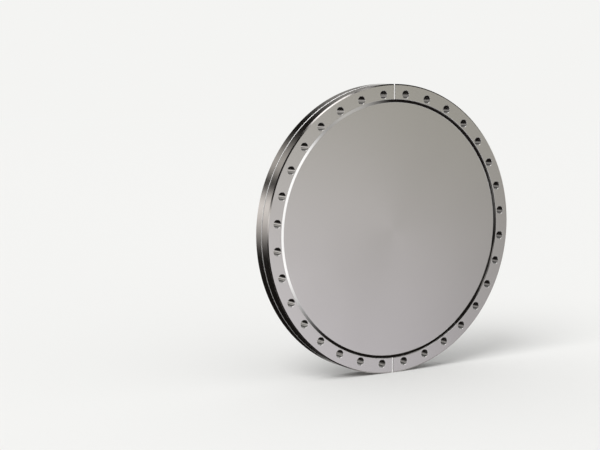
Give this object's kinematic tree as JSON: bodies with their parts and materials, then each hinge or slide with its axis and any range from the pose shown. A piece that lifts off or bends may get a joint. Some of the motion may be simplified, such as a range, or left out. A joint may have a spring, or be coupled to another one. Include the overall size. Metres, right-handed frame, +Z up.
{
  "type": "blank flange",
  "caption": "Round one-piece vacuum blank flange with a knife-edge gasket recess, a circle of through bolt holes and two leak-check grooves.",
  "frame": {"origin": "on the flange axis, in the plane of the sealing-side bolting face", "axes": "-Y out of the sealing side along the flange axis, +Y out of the plain back, +Z up through one leak-check groove"},
  "size_m": [0.3048, 0.0246, 0.3048],
  "materials": {
    "turned_stainless": "satin turned stainless steel"
  },
  "bodies": {
    "root": {"blank_flange": "turned_stainless"}
  },
  "joints": []
}
